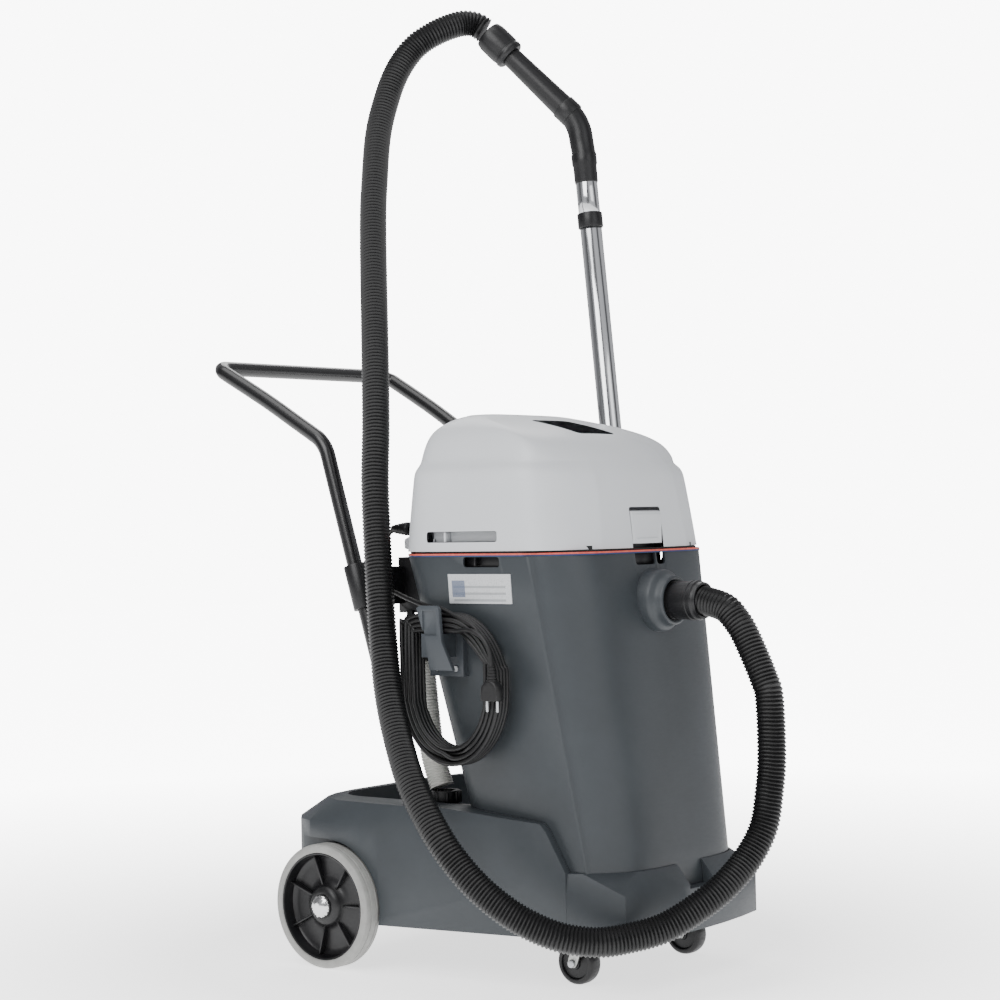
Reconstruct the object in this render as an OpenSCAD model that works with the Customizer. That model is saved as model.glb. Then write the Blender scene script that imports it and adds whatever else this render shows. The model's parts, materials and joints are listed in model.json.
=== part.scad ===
// Wet and dry shop vacuum on a wheeled chassis, with its hose and wand stowed.
// +Z is up, the hose inlet faces -Y and the machine's right side is -X.

/* [Wheels and castors] */
// Radius of a rear wheel
wheel_r = 100; // [90:1:104]
// Width of a rear wheel
wheel_w = 36; // [30:1:38]
// Distance from the middle plane to a rear wheel's outer face
wheel_face_x = 279; // [276:1:284]
// Fore and aft position of the rear axle
axle_y = 136; // [130:1:142]
// Radius of a castor wheel
castor_r = 34; // [32:1:35]
// Distance from the middle plane to a castor
castor_x = 146; // [140:1:150]
// Fore and aft position of a castor's axle
castor_y = -284; // [-290:1:-280]
// How far a castor wheel trails behind its swivel
castor_trail = 22; // [18:1:26]

/* [Tub and head] */
// Height of the seam between the tub and the head
seam_z = 667; // [660:1:674]
// Half width of the tub at the seam
tub_w = 223; // [216:1:224]
// Thickness of the moulded walls
wall = 4; // [3:0.5:5]
// Height of the head above the seam
head_h = 224; // [215:1:230]

/* [Hose, wand and handle] */
// Outer diameter of the suction hose
hose_d = 46; // [42:1:48]
// Outer diameter of the steel tubes
tube_d = 38; // [36:0.5:40]
// Diameter of the push handle's tube
bar_d = 25; // [22:1:28]
// Height of the push handle's top bar
bar_z = 986; // [960:1:1000]

/* [Mains lead] */
// Diameter of the mains lead
cord_d = 7.5; // [6:0.5:8]

/* [Hidden] */
$fn = 48;
fit = 0.3;
eps = 0.05;
leaf = 0.6;

// Colours
dark_grey = [0.30, 0.32, 0.33];
light_grey = [0.84, 0.85, 0.86];
black = [0.07, 0.07, 0.07];
mid_grey = [0.36, 0.38, 0.39];
tyre_grey = [0.63, 0.63, 0.62];
steel = [0.75, 0.76, 0.77];
zinc = [0.80, 0.80, 0.78];
white = [0.90, 0.90, 0.88];

// Chassis heights, and the step in its sides
floor_gap = 76;
deck_z = 267;
shoulder_z = 214;
ledge_z = 172;
arch_r = wheel_r + 5;
well_x = wheel_face_x - wheel_w - 5;
axle_r = 10;
cradle_z = 118;
boss_under = 96;

// Tub heights: its foot stands in the chassis, and the trim and gasket lie on its rim
tub_top = seam_z - 6;
trim_top = seam_z - 1;
head_z = seam_z + 2;
foot_z = 126;
tub_taper = 0.000348;
tub_lean = 0.2403;
boss_z = 586;
notch_z = 196;

// Wand position on the far side
wand_low = [254, -135, 232];
wand_top = [254, -33, 1303];
wand_bend = [252, -22, 1410];
wand_end = [195, 82, 1532];
cuff_len = 60;

// The push handle's two bends in side view
leg_x = 205;
leg_foot = [leg_x, -13, 232];
leg_knee = [leg_x, 175, 850];
leg_end = [leg_x + 12, 413, bar_z];

// Hose route, from the inlet cuff to the wand's swivel cuff
hose_route = [[0, -428, 587], [0, -468, 576], [0, -488, 558], [0, -506, 532], [0, -536, 470],
    [0, -546, 435], [-2, -549, 350], [-8, -547, 296], [-20, -543, 244], [-46, -531, 200],
    [-85, -514, 162], [-124, -491, 133], [-168, -459, 106], [-212, -424, 94], [-250, -393, 91],
    [-286, -349, 101], [-313, -298, 126], [-331, -250, 161], [-341, -209, 200],
    [-346, -169, 248], [-336, -116, 313], [-314, -70, 378], [-290, -30, 450], [-269, -2, 530],
    [-252, 19, 625], [-225, 48, 770], [-198, 68, 870], [-164, 97, 977], [-80, 171, 1210],
    [-44, 197, 1305], [-10, 217, 1388], [20, 223, 1452], [42, 220, 1498], [64, 212, 1533],
    [82, 199, 1556], [102, 182, 1573], [124, 166, 1586], [146, 151, 1594], [163, 136, 1592],
    [172, 124, 1582]];

// Mains lead route, from the gland at the head's rear to the top of the coil on the hook
lead_route = [[-188, 30, 706], [-189, 42, 704], [-195, 56, 694], [-203, 64, 672],
    [-209, 64, 646], [-212, 50, 624], [-215, 28, 609], [-219, 2, 600], [-225, -28, 592],
    [-231, -55, 586], [-236, -80, 582], [-238, -104, 579]];

// Drain hose route, from the nut at the tub's foot up to its cap in the clip
drain_route = [[-150, -17, 290], [-150, -8, 312], [-150, 2, 345], [-149, 10, 395],
    [-147, 17, 445], [-145, 24, 490], [-144, 28, 524]];

// Coil of mains lead on its hook
coil_at = [-237, -119, 455];
coil_half_y = 100;
coil_half_z = 119;
coil_band = 31;
coil_deep = 30;

// ---- Shared shapes ----

// One point of the tub's front, bowed forward in the middle
function front_y(x, w, y_mid, y_side) = y_mid + (y_side - y_mid) * pow(abs(x) / w, 5.5);

// Where the front's points lie, as shares of its half width
front_steps = [-1, -0.94, -0.87, -0.77, -0.65, -0.5, -0.3, 0, 0.3, 0.5, 0.65, 0.77, 0.87, 0.94, 1];

// Plan outline with a bowed front, a narrow chamfer and round rear corners
function plan(w, y_mid, y_side, y_rear, r) = concat(
    [for (k = front_steps) [(w - 9) * k, front_y((w - 9) * k, w - 9, y_mid, y_side)]],
    [[w, y_side + 12]],
    [for (a = [0:15:90]) [w - r + r * cos(a), y_rear - r + r * sin(a)]],
    [for (a = [90:15:180]) [-w + r + r * cos(a), y_rear - r + r * sin(a)]],
    [[-w, y_side + 12]]);

// The tub's plan at a height, drawn in by t: it shrinks and moves forward as it goes down
function tub_plan(z, t = 0) = let (d = seam_z - z, k = 1 - tub_taper * d)
    [for (p = plan(tub_w - t, -329 + t, -259 + t, 15 - t, 60 - t)) [k * p[0], k * p[1] - tub_lean * d]];

// Thin leaf of a plan, for hulls
module slice(points, z) { translate([0, 0, z]) linear_extrude(leaf) polygon(points); }

// Solid between two plans with as many points each
module loft(lower, z_low, upper, z_high) {
    n = len(lower);
    polyhedron(points = concat([for (p = lower) [p[0], p[1], z_low]],
        [for (p = upper) [p[0], p[1], z_high]]), faces = concat(
        [[for (k = [0:n - 1]) k]],
        [[for (k = [n - 1:-1:0]) n + k]],
        [for (k = [0:n - 1]) let (m = (k + 1) % n) [k, n + k, n + m, m]]));
}

// Solid between the tub's plans at two heights, drawn in by t
module tub_solid(zs, t = 0) { loft(tub_plan(zs[0], t), zs[0], tub_plan(zs[1], t), zs[1]); }

// The tub's outside, drawn in by t
module tub_body(t = 0) { tub_solid([foot_z, tub_top], t); }

// Straight round bar between two points
module bar(a, b, r) {
    v = b - a;
    len = norm(v);
    translate(a) rotate([0, acos(v[2] / len), atan2(v[1], v[0])]) cylinder(r = r, h = len);
}

// Straight tube between two points
module pipe(a, b, r, t) {
    v = b - a;
    len = norm(v);
    translate(a) rotate([0, acos(v[2] / len), atan2(v[1], v[0])]) difference() {
        cylinder(r = r, h = len);
        translate([0, 0, -1]) cylinder(r = r - t, h = len + 2);
    }
}

// Ring about the vertical
module ring(ro, ri, h) {
    difference() {
        cylinder(r = ro, h = h);
        translate([0, 0, -1]) cylinder(r = ri, h = h + 2);
    }
}

// Turns a shape that stands on +Z so that it points along +X
module along_x() { rotate([0, 90, 0]) children(); }

// Turns a shape that stands on +Z so that it points along -Y
module along_front() { rotate([90, 0, 0]) children(); }

// Pan-head screw with its head at the origin and its shank along -Z
module screw(head_r, shank_r, len) {
    cylinder(r = head_r, h = 0.55 * head_r);
    translate([0, 0, -len]) cylinder(r = shank_r, h = len);
}

// Unit vector
function unit(v) = v / norm(v);

// Direction of a route at its point i
function heading(route, i) = unit(route[min(i + 1, len(route) - 1)] - route[max(i - 1, 0)]);

// Round tube swept along a route, sides faces round
function sweep_points(route, r, sides) = [for (i = [0:len(route) - 1])
    let (d = heading(route, i), side = unit(cross(d, [0.31, 0.17, 0.93])), up = cross(side, d))
    for (k = [0:sides - 1]) route[i] + r * (cos(360 * k / sides) * side
        + sin(360 * k / sides) * up)];
module sweep(route, r, sides = 12) {
    last = len(route) - 1;
    polyhedron(points = sweep_points(route, r, sides), faces = concat(
        [[for (k = [0:sides - 1]) k]],
        [[for (k = [sides - 1:-1:0]) last * sides + k]],
        [for (i = [0:last - 1], k = [0:sides - 1]) let (n = (k + 1) % sides)
            [i * sides + k, (i + 1) * sides + k, (i + 1) * sides + n, i * sides + n]]),
        convexity = 10);
}

// ---- Chassis and running gear ----

// Lower plan of the chassis: bowed front, sides that widen rearwards, round tail
function lower_plan(t = 0) = concat(
    [for (k = [-3:3]) [(181 - t) * k / 3, -418 + t + 19 * pow(abs(k) / 3, 2)]],
    [[254 - t, 33], [256 - t, 70]],
    [for (a = [0:15:90]) [(256 - t) * pow(cos(a), 0.7), 120 + (164 - t) * pow(sin(a), 0.7)]],
    [for (a = [105:15:180]) [-(256 - t) * pow(-cos(a), 0.7), 120 + (164 - t) * pow(sin(a), 0.7)]],
    [[-256 + t, 70], [-254 + t, 33]]);

// Plan of the deck's edge
function deck_plan(t = 0) = concat(
    [[-206 + t, -262], [206 - t, -262], [238 - t, -20]],
    [for (a = [0:15:90]) [(238 - t) * pow(cos(a), 0.55), 60 + (158 - t) * pow(sin(a), 0.55)]],
    [for (a = [105:15:180]) [-(238 - t) * pow(-cos(a), 0.55), 60 + (158 - t) * pow(sin(a), 0.55)]],
    [[-238 + t, -20]]);

// Side view of the rear deck, with its step down to the front ledge
module deck_side(t = 0) {
    rotate([90, 0, 90]) linear_extrude(640, center = true)
        polygon([[-300 + t, 178], [-268 + t, 240], [-258 + t, 251 - t], [-93, deck_z - t],
            [320, deck_z - t], [320, 40], [-300 + t, 40]]);
}

module chassis_outside() {
    hull() {
        slice(lower_plan(), floor_gap);
        slice(lower_plan(), 148);
    }
    hull() {
        slice(lower_plan(), 148);
        slice(tub_plan(178, -3), 178 - leaf);
    }
    intersection() {
        hull() {
            slice(lower_plan(), floor_gap);
            slice(lower_plan(), shoulder_z + 18);
            slice(deck_plan(), deck_z - leaf);
        }
        deck_side();
    }
}

module chassis_inside() {
    difference() {
        union() {
            translate([0, 0, floor_gap - 10]) linear_extrude(60) polygon(lower_plan(wall + 1));
            intersection() {
                hull() {
                    slice(lower_plan(wall + 1), floor_gap);
                    slice(lower_plan(wall + 2), shoulder_z + 16);
                    slice(deck_plan(wall + 2), deck_z - wall - leaf);
                }
                deck_side(wall);
            }
        }
        // the cradle plate under the tub
        translate([-300, -420, cradle_z]) cube([600, 400, 6]);
        // bosses above the castors
        for (s = [-1, 1]) translate([s * castor_x - 32, swivel_y - 28, boss_under])
            cube([64, 56, 30]);
        // well walls round the wheels
        for (s = [-1, 1]) translate([s > 0 ? well_x - 5 : -320, axle_y, wheel_r])
            along_x() cylinder(r = arch_r + 5, h = 325 - well_x);
        // walls behind the wheels and under the tail
        for (s = [-1, 1]) translate([s > 0 ? well_x - 5 : -well_x, axle_y, 70])
            cube([5, 110, 140]);
        translate([-well_x, 233, 70]) cube([2 * well_x, 5, 140]);
        // walls and floor of the tray in the deck
        translate([0, 0, 182]) linear_extrude(100) tray_plan(wall);
        // sockets for the push handle's legs
        for (s = [-1, 1]) bar([s * leg_x, -20, 208], [s * leg_x, -2, 262], 17);
    }
}

// Plan of the tray behind the tub
module tray_plan(t = 0) {
    translate([-176 - t, -110]) square([352 + 2 * t, 248]);
    translate([-114, -110]) square([228, 310 + t]);
    for (s = [-1, 1]) translate([s * 114, 138])
        polygon([for (a = [0:10:350]) (62 + t) * [cos(a), sin(a)]]);
}

module chassis() color(dark_grey) difference() {
    chassis_outside();
    chassis_inside();
    tub_solid([foot_z - 1, 420], -0.6);
    translate([0, 0, 186]) linear_extrude(100) tray_plan();
    for (s = [-1, 1]) translate([s > 0 ? well_x : -well_x - 60, axle_y, wheel_r]) along_x()
        cylinder(r = arch_r, h = 60);
    // open space under the tail, behind the wheels
    for (s = [-1, 1]) translate([s > 0 ? well_x : -well_x - 60, axle_y, -10])
        cube([60, 180, 216]);
    translate([-300, 238, 60]) cube([600, 60, 146]);
    // passage for the axle
    translate([-300, axle_y, wheel_r]) along_x() cylinder(r = axle_r + fit, h = 600);
    for (s = [-1, 1]) let (foot = [s * leg_x, leg_foot[1], leg_foot[2]],
        knee = [s * leg_x, leg_knee[1], leg_knee[2]])
        bar(foot, foot + 0.2 * (knee - foot), bar_d / 2 + fit);
    // drip groove in the tray's floor along the tub
    translate([-176, -115, 184]) cube([352, 30, 100]);
    // scoop in the front ledge below the tub's notch
    translate([-34, -430, 142]) cube([68, 46, 60]);
}

module rear_axle() color(steel) translate([-wheel_face_x + 3, axle_y, wheel_r]) along_x()
    cylinder(r = axle_r, h = 2 * wheel_face_x - 6);

module axle_clamps() color(zinc) for (s = [-1, 1]) translate([s * 150 - 15, axle_y, wheel_r]) {
    difference() {
        union() {
            along_x() cylinder(r = 16, h = 30);
            translate([0, -16, 0]) cube([30, 32, 80]);
            translate([0, -30, 77]) cube([30, 60, 5]);
        }
        translate([-1, 0, 0]) along_x() cylinder(r = axle_r + 0.05, h = 32);
    }
}

// Rim with a hub, a web and the band that the tyre sits on; its outer face is at +X
module rim() color(black) along_x() difference() {
    union() {
        ring(86, 79, wheel_w - 2);
        translate([0, 0, 4]) ring(80, 24, 6);
        ring(25, axle_r + 0.06, wheel_w - 4);
        for (a = [0:60:300]) rotate(a) translate([24, -2, 9]) cube([56, 4, 14]);
    }
    translate([0, 0, -1]) cylinder(r = axle_r + 0.06, h = 60);
}

module tyre() color(tyre_grey) along_x() rotate_extrude()
    polygon([[86.05, 0], [95, 0], [98.6, 2], [wheel_r, 6], [wheel_r, wheel_w - 6],
        [98.6, wheel_w - 2], [95, wheel_w], [86.05, wheel_w]]);

module at_wheel(s) { translate([s * (wheel_face_x - wheel_w), axle_y, wheel_r])
    rotate([0, 0, s > 0 ? 0 : 180]) children(); }

module left_rim() { at_wheel(1) rim(); }
module right_rim() { at_wheel(-1) rim(); }
module left_tyre() { at_wheel(1) tyre(); }
module right_tyre() { at_wheel(-1) tyre(); }

// Domed caps on the axle's ends
module hub_caps() color(steel) for (s = [-1, 1]) at_wheel(s) translate([wheel_w - 3, 0, 0])
    along_x() rotate_extrude() polygon([[0, 0], [19, 0], [19, 3], [17, 6.5], [12, 9.5],
        [6, 11], [0, 11.5]]);

swivel_y = castor_y - castor_trail;
fork_top = boss_under - 3.6;

module castor_plates() color(zinc) for (s = [-1, 1]) translate([s * castor_x, swivel_y, 0]) {
    translate([-30, -26, fork_top]) cube([60, 52, 3.6]);
    translate([0, 0, fork_top - 7]) cylinder(r = 6, h = 8);
    translate([0, 0, fork_top - 10]) cylinder(r = 9, h = 3);
}

// Sheet fork: a top plate with the kingpin's hole, and two cheeks down to the axle
module castor_fork(s) color(zinc) translate([s * castor_x, swivel_y, 0]) {
    difference() {
        translate([0, 0, fork_top - 6.7]) cylinder(r = 20, h = 2.6);
        translate([0, 0, fork_top - 10]) cylinder(r = 6.08, h = 20);
    }
    for (k = [-1, 1]) translate([k * 18 - 1.25, 0, 0]) rotate([90, 0, 90]) linear_extrude(2.5)
        difference() {
            polygon([[-9, fork_top - 4.5], [13, fork_top - 4.5],
                [castor_trail + 8, castor_r + 3], [castor_trail + 5, castor_r - 6],
                [castor_trail - 5, castor_r - 6], [castor_trail - 9, castor_r]]);
            translate([castor_trail, castor_r]) circle(r = 4.06);
        }
}
module left_castor_fork() { castor_fork(1); }
module right_castor_fork() { castor_fork(-1); }

module castor_wheel(s) color([0.22, 0.22, 0.23]) translate([s * castor_x, castor_y, castor_r])
    along_x() translate([0, 0, -13]) rotate_extrude() polygon([[4.08, -2], [10, -2], [10, 3],
        [24, 5], [25, 0], [30, 0], [33, 3], [castor_r, 8], [castor_r, 18], [33, 23], [30, 26],
        [25, 26], [24, 21], [10, 23], [10, 28], [4.08, 28]]);
module left_castor_wheel() { castor_wheel(1); }
module right_castor_wheel() { castor_wheel(-1); }

// Riveted axle pin with a head at each end, held in the fork
module castor_pin(s) color(steel) translate([s * castor_x - 22, castor_y, castor_r]) along_x() {
    cylinder(r = 4, h = 44);
    translate([0, 0, -1]) cylinder(r = 6, h = 3.4);
    translate([0, 0, 41.6]) cylinder(r = 6, h = 3.4);
}
module left_castor_pin() { castor_pin(1); }
module right_castor_pin() { castor_pin(-1); }

// ---- Push handle ----

// Half of the handle's route, from its foot to the top bar
leg_route = [leg_foot, [leg_x, 168.3, 828], [leg_x, 178.4, 847.4], [leg_x + 0.6, 194.7, 861.8],
    [leg_x + 11.8, 388, bar_z - 12.5], [leg_x + 5, 406, bar_z - 3], [leg_x - 13, 413, bar_z]];

function mirrored(route) = [for (i = [len(route) - 1:-1:0]) [-route[i][0], route[i][1],
    route[i][2]]];

module push_handle() color(black) sweep(concat(leg_route, mirrored(leg_route)), bar_d / 2, 20);

// Cross piece behind the tub that holds both legs, with a clip for the drain hose
module handle_bracket() color(black) difference() {
    union() {
        translate([-170, -30, 570]) cube([340, 80, 90]);
        for (s = [-1, 1]) {
            bar([s * leg_x, 92.1, 578], [s * leg_x, 113.4, 648], 19);
            translate([s > 0 ? 160 : -200, 38, 585]) cube([40, 62, 60]);
        }
        translate([-145, 24, 492]) ring(26, 21.6, 14);
        translate([-175, 18, 492]) cube([7, 12, 82]);
    }
    tub_body(-0.1);
    for (s = [-1, 1]) let (foot = [s * leg_x, leg_foot[1], leg_foot[2]],
        knee = [s * leg_x, leg_knee[1], leg_knee[2]]) bar(foot, knee, bar_d / 2 + 0.1);
    for (s = [-1, 1], z = [592, 638]) translate([s * 120, -60, z]) rotate([-90, 0, 0])
        cylinder(r = 3.1, h = 200);
    for (s = [-1, 1]) translate([s > 0 ? 20 : -100, 18, 560]) cube([80, 26, 90]);
}

module bracket_screws() color(steel) for (s = [-1, 1], z = [592, 638])
    translate([s * 120, 50, z]) rotate([-90, 0, 0]) screw(6, 3, 40);

// ---- Tub ----

module tub() color(dark_grey) difference() {
    tub_body();
    tub_solid([foot_z + wall, tub_top + 1], wall);
    // opening for the inlet
    translate([0, -300, boss_z]) along_front() cylinder(r = 32, h = 100, $fn = 12);
    // opening for the drain
    translate([-150, -140, 244]) rotate([-90, 0, 0]) cylinder(r = 18.6, h = 100, $fn = 12);
    // hollow below the front latch
    translate([-40, -340, seam_z - 18]) cube([80, 12, 30]);
    // finger holds in both sides
    for (s = [-1, 1]) translate([s > 0 ? tub_w - 2.6 : -tub_w - 8, -202, seam_z - 21])
        cube([10.6, 72, 14]);
}

module trim_ring() color([0.80, 0.38, 0.33]) difference() {
    tub_solid([tub_top, trim_top - eps], -0.6);
    tub_solid([tub_top - 1, trim_top + 1], 9);
}

module label_plate() color([0.75, 0.76, 0.77]) difference() {
    translate([0, -98, 0]) rotate([90, 0, 0]) linear_extrude(125)
        polygon([[-218.2, 588], [-221.7, 634], [-210, 634], [-210, 588]]);
    tub_body(-0.02);
}

// ---- Inlet ----

module inlet_boss() color(dark_grey) difference() {
    translate([0, -326, boss_z]) along_front() rotate_extrude() polygon([[31, 0], [49, 0],
        [49, 28], [46, 31], [38, 50], [36, 52], [31, 52]]);
    tub_body(-0.05);
    for (a = [45:90:315]) translate([40.5 * cos(a), -300, boss_z + 40.5 * sin(a)]) along_front() {
        cylinder(r = 2.1, h = 90);
        translate([0, 0, 54]) cylinder(r = 4.6, h = 60);
    }
}

module inlet_screws() color(steel) for (a = [45:90:315])
    translate([40.5 * cos(a), -354, boss_z + 40.5 * sin(a)]) along_front() screw(4, 2, 9);

// Pipe through the wall that turns the air down into the tub
module inlet_elbow() color(black) difference() {
    union() {
        translate([0, -306, boss_z]) along_front() cylinder(r = 30, h = 70);
        translate([0, -306, boss_z]) sphere(r = 30);
        translate([0, -306, boss_z - 50]) cylinder(r = 30, h = 50);
    }
    translate([0, -306, boss_z]) along_front() cylinder(r = 27.5, h = 90);
    translate([0, -306, boss_z]) sphere(r = 27.5);
    translate([0, -306, boss_z - 60]) cylinder(r = 27.5, h = 60);
}

module hose_cuff() color(black) translate([0, 0, boss_z]) along_front() difference() {
    union() {
        translate([0, 0, 352]) cylinder(r = 27.43, h = 30);
        translate([0, 0, 379]) cylinder(r = 30, h = 52);
    }
    translate([0, 0, 350]) cylinder(r = 22, h = 72);
    translate([0, 0, 420]) cylinder(r = 25.2, h = 20);
}

module suction_hose() color(black) sweep(hose_route, hose_d / 2, 12);

// ---- Wand ----

wand_up = unit(wand_top - wand_low);
grip_up = unit(wand_end - wand_bend);
tube_join = wand_low + 1010 * wand_up;

module lower_tube() color(steel) pipe(wand_low, tube_join - 0.5 * wand_up, tube_d / 2, 1.5);

module upper_tube() color(steel) pipe(tube_join + 0.5 * wand_up, wand_top + 20 * wand_up,
    tube_d / 2, 1.5);

module tube_collar() color(black) pipe(tube_join - 14 * wand_up, tube_join + 12 * wand_up,
    22, 2.94);

// Bent hand grip, sleeved over the upper tube
module wand_grip() color(black) difference() {
    union() {
        bar(wand_top, wand_bend, 22);
        translate(wand_bend) sphere(r = 22);
        bar(wand_bend, wand_end, 20);
        bar(wand_end - 4 * grip_up, wand_end + 22 * grip_up, 17);
    }
    bar(wand_top - 5 * wand_up, wand_top + 20.5 * wand_up, tube_d / 2 + 0.06);
    bar(wand_top, wand_bend, 15);
    translate(wand_bend) sphere(r = 15);
    bar(wand_bend, wand_end + 30 * grip_up, 14.5);
}

// Ring on the grip that opens the air bleed
module air_slider() color(black) pipe(wand_bend + 18 * grip_up, wand_bend + 42 * grip_up,
    22.8, 2.3);

module swivel_cuff() color(black) difference() {
    bar(wand_end + 0.6 * grip_up, wand_end + cuff_len * grip_up, 28);
    bar(wand_end - 5 * grip_up, wand_end + 30 * grip_up, 17.07);
    bar(wand_end + 20 * grip_up, wand_end + 80 * grip_up, 24.5);
}

// Ring on the chassis that the stowed tube hangs in
module tube_holder() color(black) difference() {
    union() {
        bar(wand_low + 12 * wand_up, wand_low + 32 * wand_up, 23.5);
        translate([212, -154, 240]) cube([26, 46, 20]);
    }
    bar(wand_low, wand_low + 60 * wand_up, tube_d / 2 + 0.1);
    chassis_outside();
    tub_body(-0.7);
}

// ---- Cord hook ----

module cord_hook() color(mid_grey) difference() {
    union() {
        translate([-256, -112, 505]) cube([49, 42, 37]);
        translate([-221.5, -126, 474]) cube([15, 68, 74]);
        // face plate, wider at its foot
        translate([-262, 0, 0]) rotate([90, 0, 90]) linear_extrude(7)
            polygon([[-138, 486], [-91, 486], [-84, 530], [-66, 582], [-72, 586], [-106, 586],
                [-111, 582], [-116, 530]]);
    }
    tub_body(-0.05);
    translate([-264, -106, 540]) cube([5, 28, 38]);
    for (y = [-112, -74]) translate([-240, y, 486]) along_x() cylinder(r = 2.1, h = 40);
    translate([-252, -106, 511]) cube([31, 30, 40]);
}

module hook_screws() color(steel) for (y = [-112, -74]) translate([-221.6, y, 486])
    rotate([0, -90, 0]) screw(4.5, 2, 5);

// ---- Drain ----

module drain_outlet() color(black) difference() {
    union() {
        translate([-150, -96, 244]) rotate([-90, 0, 0]) cylinder(r = 17.5, h = 79);
        translate([-150, -25, 244]) sphere(r = 20);
        translate([-150, -25, 244]) cylinder(r = 20, h = 20);
        translate([-150, -84, 244]) rotate([-90, 0, 0]) cylinder(r = 20, h = 59);
    }
    translate([-150, -25, 200]) cylinder(r = 14, h = 100);
    translate([-150, -110, 244]) rotate([-90, 0, 0]) cylinder(r = 14, h = 85);
}

// Nut with eight lobes that clamps the drain hose on its outlet
module drain_nut() color(black) difference() {
    translate([-150, -25, 264.2]) {
        cylinder(r = 23, h = 20);
        for (a = [0:45:315]) rotate(a) translate([22, 0, 0]) cylinder(r = 3.4, h = 18);
    }
    translate([-150, -25, 264]) cylinder(r = 14, h = 30);
}

module drain_hose() color(white) difference() {
    sweep(drain_route, 20, 16);
}

module drain_cap() color(black) translate([-144, 28.5, 527]) difference() {
    cylinder(r = 23, h = 18);
    for (a = [0:30:330]) rotate(a) translate([24, 0, -1]) cylinder(r = 2, h = 30);
}

// ---- Head ----

// Head outline at heights above the seam: half width, front middle, front side, rear, corner
head_rows = [[2, 222, -329, -262, 15, 60], [98, 218, -317, -238, 6, 58],
    [126, 214, -311, -231, 4, 56], [140, 207, -302, -226, 3, 55], [150, 200, -288, -216, 2, 55],
    [174, 190, -258, -195, -5, 55], [195, 174, -192, -150, -10, 55], [209, 154, -130, -120, -26, 50],
    [218, 128, -90, -84, -36, 40]];

module head_shape(t = 0, drop = 0) {
    hull() {
        for (h = head_rows) slice(plan(h[1] - t, h[2] + t, h[3] + t, h[4] - t, h[5] - t),
            seam_z + h[0] - drop - (h[0] > 2 ? leaf : 0));
        translate([0, -62, seam_z + head_h - 1 - drop]) cylinder(r = 20, h = 1);
    }
}

module motor_cover() color(light_grey) difference() {
    union() {
        difference() {
            head_shape();
            head_shape(3, 3);
            translate([-300, -400, seam_z - 20]) cube([600, 500, 21.9]);
        }
        // walls of the grips, the latch seats and the switch well
        intersection() {
            head_shape();
            union() {
                for (s = [-1, 1]) translate([s > 0 ? 205 : -230, -200, 680]) cube([25, 148, 23]);
                translate([-46, -340, 676]) cube([92, 36, 62]);
                translate([-46, -14, 676]) cube([92, 40, 62]);
                translate([-54, -226, 838]) cube([108, 108, 50]);
            }
        }
        // screw posts
        for (s = [-1, 1], y = [-200, -60]) translate([s * 208, y, head_z + 6.3])
            cylinder(r = 7, h = 22);
        // exhaust cowl at the rear, open in the middle for the latch
        difference() {
            for (s = [-1, 1]) translate([s > 0 ? 50 : -140, 0, 0]) rotate([90, 0, 90])
                linear_extrude(90) polygon([[-6, 671], [66, 671], [66, 690], [2, 712]]);
            head_shape();
            for (s = [-1, 1]) translate([s > 0 ? 54 : -136, -8, 668]) cube([82, 70, 18]);
        }
    }
    // grips
    for (s = [-1, 1]) translate([s > 0 ? 208 : -230, -197, 683]) cube([22, 142, 17]);
    // seats of the latches
    translate([-42, -345, 660]) cube([84, 37, 74]);
    translate([-42, -10, 660]) cube([84, 40, 74]);
    for (y = [latch_y, rear_latch_y]) translate([-46, y, latch_z]) along_x()
        cylinder(r = 3.05, h = 92);
    // well of the switches
    translate([-50, -222, 846]) cube([100, 100, 60]);
    translate([-42, -214, 820]) cube([84, 84, 60]);
    for (s = [-1, 1], y = [-200, -60]) translate([s * 208, y, 660]) cylinder(r = 2.1, h = 31);
    // slots that let the motors' cooling air out
    for (s = [-1, 1], k = [0:5]) translate([s * 74 - 34, 20 - 40, 738 + 8 * k])
        cube([68, 60, 3.5]);
    // passage for the lead
    translate([-188, -40, 706]) rotate([-90, 0, 0]) cylinder(r = 6.1, h = 60);
}

latch_z = 722;
latch_y = -318;
rear_latch_y = 3;

module cover_screws() color(steel) for (s = [-1, 1], y = [-200, -60])
    translate([s * 208, y, head_z]) rotate([180, 0, 0]) screw(4.5, 2, 20);

// Floor of the head, with the two suction holes and slots for the screws
module head_base() color(black) difference() {
    tub_solid([head_z, head_z + 6 - eps], 6.6);
    for (s = [-1, 1]) translate([s * 66, motor_y, 660]) cylinder(r = 22, h = 30);
    for (s = [-1, 1], y = [-200, -60]) translate([s * 208, y, 660]) cylinder(r = 2.2, h = 30);
    translate([-43, -345, 660]) cube([86, 38, 30]);
    translate([-43, -12, 660]) cube([86, 40, 30]);
}

motor_y = -150;

// Soft gasket between the head and the tub
module head_seal() color(black) difference() {
    tub_solid([trim_top + 0.3, head_z - 2 * eps], 4);
    tub_solid([trim_top - 1, head_z + 1], 12);
    for (s = [-1, 1], y = [-200, -60]) translate([s * 208, y, 660]) cylinder(r = 5, h = 30);
}

fan_z = head_z + 6;

// Round volutes that hold the fans
module fan_casings() color(black) for (s = [-1, 1]) translate([s * 66, motor_y, fan_z])
    difference() {
        cylinder(r = 64, h = 26);
        translate([0, 0, 3]) cylinder(r = 60, h = 20);
        translate([0, 0, -1]) cylinder(r = 20, h = 10);
        translate([0, 0, 20]) cylinder(r = 14, h = 10);
        translate([s * 50, 30, 6]) cube([30, 24, 14], center = false);
    }

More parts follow.
